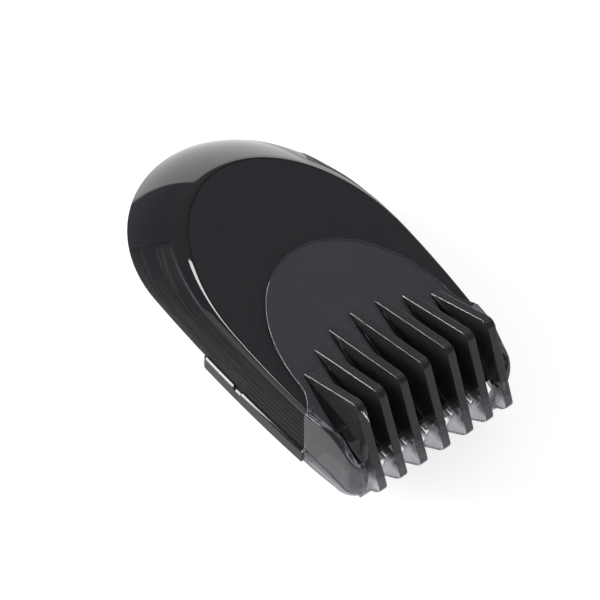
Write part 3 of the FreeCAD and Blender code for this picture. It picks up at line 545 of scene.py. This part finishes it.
# ---------------------------------------------------------------- guide comb

TONGUE_LOW, TONGUE_TOP = 22.05, 23.0
TONGUE_REAR, TONGUE_HALF, TONGUE_LONG = -8.2, 17.2, 25.0
RIB_THICK, RIB_EDGE = 1.7, 0.22
# x of each rib and the y where it rises from the tongue, from the middle outwards
RIGHT_RIBS = [(0.0, -25.4), (5.3, -26.2), (9.94, -28.2), (14.55, -31.1)]
RIBS = [(-x, start) for x, start in reversed(RIGHT_RIBS[1:])] + RIGHT_RIBS
# y where the slits beside each rib begin
SLIT_REAR = [-32.0, -30.9, -29.4, -28.2, -29.4, -30.9, -32.0]
WEB_FRONT, SLIT_WIDE = -36.5, 0.7
SHOULDER_FRONT, SHOULDER_X = -44.2, 18.4
# how far the tongue widens to each side at its front end, and the bend of that line
FLARE, FLARE_BEND = 2.0, 1.6
# how far the front of the tongue falls away, where that begins, and the length over which it eases in
TONGUE_FALL, FALL_REAR, FALL_LONG = 0.45, -38.0, 6.0
CORNER_X = 18.6
# shares of the comb's side wall at which its front corner begins and ends
CORNER_START, CORNER_END = 0.62, 0.9
CHEEK_REAR, CHEEK_REAR_X, CHEEK_THICK, CHEEK_BEND = -37.65, 19.9, 1.4, 1.3
# radius of the wall's outer top edge behind share 0.3 and ahead of share 0.6
SOFT_REAR, SOFT_FRONT = 0.5, 1.3
RIM_OUT, COMB_LOW = 0.25, 6.0
# height against the foremost y of the comb's front corner, and against its radius in plan
CORNER_FRONT = [(6.0, -49.9), (8.4, -50.7), (12.0, -51.2), (16.0, -51.0), (19.0, -50.2), (21.0, -49.0),
                (23.5, -48.0)]
CORNER_ROUND = [(6.0, 4.2), (9.0, 3.0), (12.0, 2.2), (23.0, 2.2)]
# share along the wall, 0 at the housing and 1 at the outer rib, against the heights of its top and lower rim
CHEEK_TOP = [(0.0, 22.2), (0.35, 22.95), (0.46, 22.9), (0.56, 22.3), (0.66, 20.9), (0.75, 19.2), (0.85, 17.6),
             (1.0, 16.0)]
RIM_TOP_Z = [(0.0, 10.0), (0.4, 9.9), (0.65, 8.8), (0.85, 8.1), (1.0, 7.9)]
ARM_LOW, ARM_TOP, ARM_REAR, ARM_FRONT = 6.0, 9.3, -9.9, -37.7
ARM_LEAN, ARM_LIP, ARM_GAP, ARM_FOOT, ARM_FOOT_TOP = 0.95, 0.62, 0.14, 1.6, 8.5
ARM_FOOT_REAR, ARM_CHAMFER_WIDE, ARM_CHAMFER_DEEP = -11.2, 0.38, 0.34
ARM_NOTCH_Y, ARM_NOTCH_HALF, ARM_NOTCH_DEEP, ARM_NOTCH_FADE = -19.9, 0.8, 0.5, 0.4
# how much the arm shrinks at its rear end, over what length, and over what length its foot comes in
ARM_TIP, ARM_TIP_LONG, ARM_FOOT_LONG = 0.4, 0.8, 0.6
NOSE_REAR, NOSE_FRONT, NOSE_TIP_Z = -28.5, -47.6, 14.55


def rib_part(x, start):
    """One rib: ramp, crest, front edge, rounded tip and the inner edge round the blades."""
    under = min(NOSE_REAR, start - 1.6)
    slope = (FACE_Z - NOSE_TIP_Z) / (NOSE_REAR - NOSE_FRONT)
    under_z = FACE_Z + 0.5 - slope * (NOSE_REAR - under)
    outline = rounded([(start, TONGUE_TOP - 0.3, 0), (start - 0.5, TONGUE_TOP + 0.45, 0.4),
                       (-46.9, 32.35, 1.5), (-54.5, 13.2, 1.7), (-53.3, 11.2, 0.8), (-49.3, 7.0, 1.0),
                       (-48.4, 7.0, 0.35), (-48.9, 9.9, 1.0), (-50.3, 16.0, 1.2),
                       (NOSE_FRONT + 0.2, NOSE_TIP_Z + 1.2, 1.0), (under, under_z, 0.3),
                       (start, TONGUE_LOW + 0.3, 0)])
    return plate(outline, "x", x - RIB_THICK / 2, x + RIB_THICK / 2, RIB_EDGE)


def tongue_part():
    """The thin tongue lying on the face, with a shoulder on each side of the ribs."""
    steps = 48
    points = []
    for step in range(steps + 1):
        angle = math.pi * step / steps
        points.append((TONGUE_HALF * math.cos(angle), TONGUE_REAR - TONGUE_LONG * (1 - math.sin(angle)), 0))
    arc_end = TONGUE_REAR - TONGUE_LONG
    left = [(-TONGUE_HALF - FLARE * share ** FLARE_BEND, blend(arc_end, CHEEK_REAR, share), 0)
            for share in (0.2, 0.4, 0.6, 0.8)]
    left += [(-TONGUE_HALF - FLARE, CHEEK_REAR, 0.3), (-SHOULDER_X, SHOULDER_FRONT, 0.3),
             (RIBS[0][0] + 0.3, SHOULDER_FRONT, 0.3)]
    left += [(x + 0.3, SLIT_REAR[number], 0.3) for number, (x, _) in enumerate(RIBS[:3])]
    right = [(-x, y, radius) for x, y, radius in reversed(left)]
    bm = plate(rounded(points + left + [(0, SLIT_REAR[3], 0)] + right, 3), "z", TONGUE_LOW, TONGUE_TOP, 0.25)
    return lowered(bm)


def tab_part(left, left_rear, right, right_rear):
    """The piece of the tongue between two ribs: it narrows forwards and leaves a slit along each rib."""
    half = RIB_THICK / 2
    outline = rounded([(left + half - 0.2, left_rear + 0.6, 0), (left + half - 0.1, left_rear, 0.2),
                       (left + half + SLIT_WIDE, WEB_FRONT, 0.5), (right - half - SLIT_WIDE, WEB_FRONT, 0.5),
                       (right - half + 0.1, right_rear, 0.2), (right - half + 0.2, right_rear + 0.6, 0)], 4)
    return lowered(plate(outline, "z", TONGUE_LOW + 0.02, TONGUE_TOP - 0.02, 0.04))


def lowered(bm):
    """Let the front of a plate fall away a little."""
    for vert in bm.verts:
        vert.co.z -= TONGUE_FALL * MM * smooth((FALL_REAR - vert.co.y / MM) / FALL_LONG)
    return bm


def cheek_place(share, z):
    """Point and outward direction on the comb's right wall: along the side, round the corner, to the rib."""
    front, radius = along(CORNER_FRONT, z), along(CORNER_ROUND, z)
    if share < CORNER_START:
        part = share / CORNER_START
        y = blend(CHEEK_REAR, front + radius, part)
        narrowing = CHEEK_REAR_X - CORNER_X
        slope = CHEEK_BEND * narrowing * part ** (CHEEK_BEND - 1) / (CHEEK_REAR - front - radius)
        return CHEEK_REAR_X - narrowing * part ** CHEEK_BEND, y, Vector((1, -slope)).normalized()
    angle = math.pi / 2 * min(1.0, (share - CORNER_START) / (CORNER_END - CORNER_START))
    normal = Vector((math.cos(angle), -math.sin(angle)))
    inward = max(0.0, share - CORNER_END) / (1 - CORNER_END) * (CORNER_X - radius - RIBS[-1][0])
    return CORNER_X - radius + radius * normal.x - inward, front + radius + radius * normal.y, normal


def cheek_part(side):
    """Side wall of the comb, thicker along its lower rim; its top rounds inwards and falls to the front."""
    rings = []
    steps = 60
    for step in range(steps + 1):
        share = step / steps
        top, rim = along(CHEEK_TOP, share), along(RIM_TOP_Z, share)
        soft = blend(SOFT_REAR, SOFT_FRONT, smooth((share - 0.3) / 0.3))
        section = rounded([(RIM_OUT, COMB_LOW, 0.3), (RIM_OUT, rim, 0.15), (0, rim + 0.15, 0.1),
                           (0, top, soft), (-CHEEK_THICK, top, 0.09), (-CHEEK_THICK, COMB_LOW, 0.3)])
        ring = []
        for out, z in section:
            x, y, normal = cheek_place(share, z)
            ring.append((side * (x + normal.x * out), y + normal.y * out, z))
        rings.append(ring)
    bm = bmesh.new()
    skin(bm, rings)
    return bm


def arm_part(side):
    """Side arm that runs back along the housing: a foot, and a thin lip up the flank with a notch in it."""
    rings = []
    steps = 120
    for step in range(steps + 1):
        y = blend(ARM_REAR, ARM_FRONT, step / steps)
        x = flank(max(y, BODY_FRONT), BELT_Z)[0]
        dip = ARM_NOTCH_DEEP * (1 - smooth((abs(y - ARM_NOTCH_Y) - ARM_NOTCH_HALF) / ARM_NOTCH_FADE))
        tip = ARM_TIP * (1 - smooth((ARM_REAR - y) / ARM_TIP_LONG))
        top = ARM_TOP - dip - tip
        inner = x + ARM_GAP
        foot = inner - 0.02 - ARM_FOOT * smooth((ARM_FOOT_REAR - y) / ARM_FOOT_LONG)
        lip = x + ARM_LIP - tip
        section = rounded([(x + ARM_LEAN - tip, ARM_LOW + tip, 0.35), (lip, top - ARM_CHAMFER_DEEP, 0.05),
                           (lip - ARM_CHAMFER_WIDE, top, 0.04), (inner, top, 0), (inner, ARM_FOOT_TOP, 0),
                           (foot, ARM_FOOT_TOP - 0.1, 0), (foot, ARM_LOW + tip, 0)])
        rings.append([(side * px, y, pz) for px, pz in section])
    bm = bmesh.new()
    skin(bm, rings)
    return bm


def rail_part(side):
    """Short bottom rail from the side wall's front corner to the outer rib."""
    outline = rounded([(-50.4, 6.3, 0.4), (-48.2, 6.3, 0.4), (-48.6, 8.4, 0.4), (-50.8, 8.8, 0.4)], 4)
    ends = sorted((side * (RIBS[-1][0] - RIB_THICK / 2), side * (CORNER_X - 2.0)))
    return plate(outline, "x", *ends, 0.1)


def make_comb():
    """The comb: one clear moulding in place of the CAD comb, and two dark arms. Gives the moulding."""
    parts = [tongue_part()]
    parts += [rib_part(x, start) for x, start in RIBS]
    parts += [tab_part(RIBS[number][0], SLIT_REAR[number], RIBS[number + 1][0], SLIT_REAR[number + 1])
              for number in range(len(RIBS) - 1)]
    for side in (1, -1):
        parts += [cheek_part(side), rail_part(side)]
    comb = boolean(parts[:1], parts[1:], "comb", "UNION")
    for side, name in ((1, "right"), (-1, "left")):
        finish_mesh(arm_part(side), "guide_comb_arm_" + name, "smoke_dark", "comb", sharp=40)
    return finish_mesh(comb, "guide_comb_moulding", "smoke_clear", "comb", ["guide_comb"], sharp=40)


# ---------------------------------------------------------------- carried-over nodes

def dress_nodes():
    """Give every CAD node its material, from the record's slots, and smooth shading with sharp edges kept."""
    slots = {entry["node"]: entry["material_slot"] for entry in frame["record"]["subparts"]}
    for node, piece in NODES.items():
        mesh = piece.data
        mesh.materials.clear()
        mesh.materials.append(LOOKS[slots[node]])
        mesh.shade_smooth()
        mesh.set_sharp_from_angle(angle=math.radians(28))


# ---------------------------------------------------------------- stage

VIEW_AZIMUTH, VIEW_ELEVATION, VIEW_DISTANCE = math.radians(-36.7), math.radians(55.0), 0.470
VIEW_TARGET = Vector((0.0, -0.008, 0.023))
LENS, SENSOR_WIDE, SHIFT_X, SHIFT_Y = 151.7, 36.0, 0.0097, -0.088
# name, azimuth and elevation of the centre seen from the object, width and height in metres, power, colour,
# and which pieces it lights
LAMPS = [("left_box", -51, 22, 0.65, 0.44, 12.0, (1, 1, 1), "all but", ["face_plate"]),
         ("edge_strip", -22, 8, 0.57, 0.32, 8.0, (1, 1, 1), "only", ["guide_comb_moulding"]),
         ("top_box", 36.7, 55, 0.9, 0.9, 1.6, (0.92, 0.90, 1.0), "only", ["guide_comb_moulding"]),
         ("blade_box", 36.7, 55, 0.9, 0.9, 1.9, (1, 1, 1), "only", ["fixed_blade", "moving_blade"])]
FLOOR_Z, FLOOR_HALF, FLOOR_GREY, FLOOR_GLOW = -0.0005, 2.0, 0.55, 0.70
# how the floor looks in mirror images: MIRROR_FRONT of its brightness ahead of MIRROR_REAR, and behind that
# place dark up to a slanted line in x, over which it brightens
MIRROR_REAR, MIRROR_SLANT, MIRROR_EDGE, MIRROR_FRONT = 0.034, -0.12, [(-0.0205, 0), (-0.0185, 1)], 0.5
MIRROR_DARK = (0.20, 0.20, 0.24, 1)
ROOM_WHITE, ROOM_MIRROR, ROOM_MIRROR_COLOUR = 0.62, 0.26, (0.93, 0.93, 1, 1)


def paper_look():
    """White paper that glows a little; mirror images show it dark to the left rear and half dark in front."""
    paper = Shader("paper")
    paper.main.inputs["Base Color"].default_value = (FLOOR_GREY, FLOOR_GREY, FLOOR_GREY, 1)
    paper.main.inputs["Roughness"].default_value = 0.9
    paper.main.inputs["Specular IOR Level"].default_value = 0.0
    split = paper.add("ShaderNodeSeparateXYZ")
    paper.link(paper.place, split.inputs[0])
    x, y, _ = split.outputs
    right = paper.steps(paper.math("MULTIPLY_ADD", y, MIRROR_SLANT, x), MIRROR_EDGE)
    front = paper.math("LESS_THAN", y, MIRROR_REAR)
    rear_lit = paper.math("MULTIPLY", right, paper.math("SUBTRACT", 1.0, front))
    lit = paper.math("MAXIMUM", rear_lit, paper.math("MULTIPLY", front, MIRROR_FRONT))
    mirror = paper.add("ShaderNodeLightPath").outputs["Is Glossy Ray"]
    dark = paper.math("MULTIPLY", mirror, paper.math("SUBTRACT", 1.0, lit))
    glow = paper.add("ShaderNodeEmission", Color=(1, 1, 1, 1), Strength=FLOOR_GLOW)
    lift = paper.add("ShaderNodeAddShader")
    paper.link(paper.main.outputs[0], lift.inputs[0])
    paper.link(glow.outputs[0], lift.inputs[1])
    mix = paper.add("ShaderNodeMixShader")
    paper.link(dark, mix.inputs[0])
    paper.link(lift.outputs[0], mix.inputs[1])
    paper.link(paper.add("ShaderNodeEmission", Color=MIRROR_DARK).outputs[0], mix.inputs[2])
    paper.link(mix.outputs[0], paper.tree.nodes["Material Output"].inputs["Surface"])
    return paper.material


def make_floor():
    """A plain sheet of paper just under the object."""
    mesh = bpy.data.meshes.new("floor")
    bm = bmesh.new()
    bmesh.ops.create_grid(bm, x_segments=1, y_segments=1, size=FLOOR_HALF)
    bm.to_mesh(mesh)
    bm.free()
    floor = bpy.data.objects.new("floor", mesh)
    floor.location.z = FLOOR_Z
    bpy.context.scene.collection.objects.link(floor)
    mesh.materials.append(paper_look())


def make_room():
    """White to the camera and as a light, dim in mirror images."""
    world = bpy.data.worlds.new("room")
    bpy.context.scene.world = world
    world.use_nodes = True
    tree = world.node_tree
    white = tree.nodes["Background"]
    white.inputs["Color"].default_value = (1, 1, 1, 1)
    white.inputs["Strength"].default_value = ROOM_WHITE
    dim = tree.nodes.new("ShaderNodeBackground")
    dim.inputs["Color"].default_value = ROOM_MIRROR_COLOUR
    dim.inputs["Strength"].default_value = ROOM_MIRROR
    path = tree.nodes.new("ShaderNodeLightPath")
    mix = tree.nodes.new("ShaderNodeMixShader")
    tree.links.new(path.outputs["Is Glossy Ray"], mix.inputs[0])
    tree.links.new(white.outputs[0], mix.inputs[1])
    tree.links.new(dim.outputs[0], mix.inputs[2])
    tree.links.new(mix.outputs[0], tree.nodes["World Output"].inputs["Surface"])


def make_lamps(pieces):
    """Soft boxes 1 m away. Where one lights only the pieces it names, only those cast its shadows."""
    for name, azimuth, elevation, wide, high, energy, colour, rule, named in LAMPS:
        turn, rise = math.radians(azimuth), math.radians(elevation)
        lamp = bpy.data.lights.new(name, "AREA")
        lamp.shape = "RECTANGLE"
        lamp.size = wide
        lamp.size_y = high
        lamp.energy = energy
        lamp.color = colour
        light = bpy.data.objects.new(name, lamp)
        away = Vector((math.sin(turn) * math.cos(rise), math.cos(turn) * math.cos(rise), math.sin(rise)))
        light.location = VIEW_TARGET + away
        light.rotation_euler = (-away).to_track_quat("-Z", "Y").to_euler()
        bpy.context.scene.collection.objects.link(light)
        group = bpy.data.collections.new(name + "_pieces")
        for piece in named:
            group.objects.link(pieces[piece])
        light.light_linking.receiver_collection = group
        if rule == "only":
            light.light_linking.blocker_collection = group
        else:
            for entry in group.collection_objects:
                entry.light_linking.link_state = "EXCLUDE"


def make_camera():
    """The camera at the photographed angle."""
    lens = bpy.data.cameras.new("camera")
    lens.lens = LENS
    lens.sensor_width = SENSOR_WIDE
    lens.shift_x = SHIFT_X
    lens.shift_y = SHIFT_Y
    camera = bpy.data.objects.new("camera", lens)
    away = Vector((math.sin(VIEW_AZIMUTH) * math.cos(VIEW_ELEVATION),
                   -math.cos(VIEW_AZIMUTH) * math.cos(VIEW_ELEVATION), math.sin(VIEW_ELEVATION)))
    camera.location = VIEW_TARGET + away * VIEW_DISTANCE
    camera.rotation_euler = (-away).to_track_quat("-Z", "Y").to_euler()
    bpy.context.scene.collection.objects.link(camera)
    bpy.context.scene.camera = camera


dress_nodes()
make_shell_and_grips()
comb = make_comb()
make_floor()
make_room()
make_lamps({**NODES, comb.name: comb})
make_camera()
bpy.context.scene.view_settings.view_transform = "Standard"
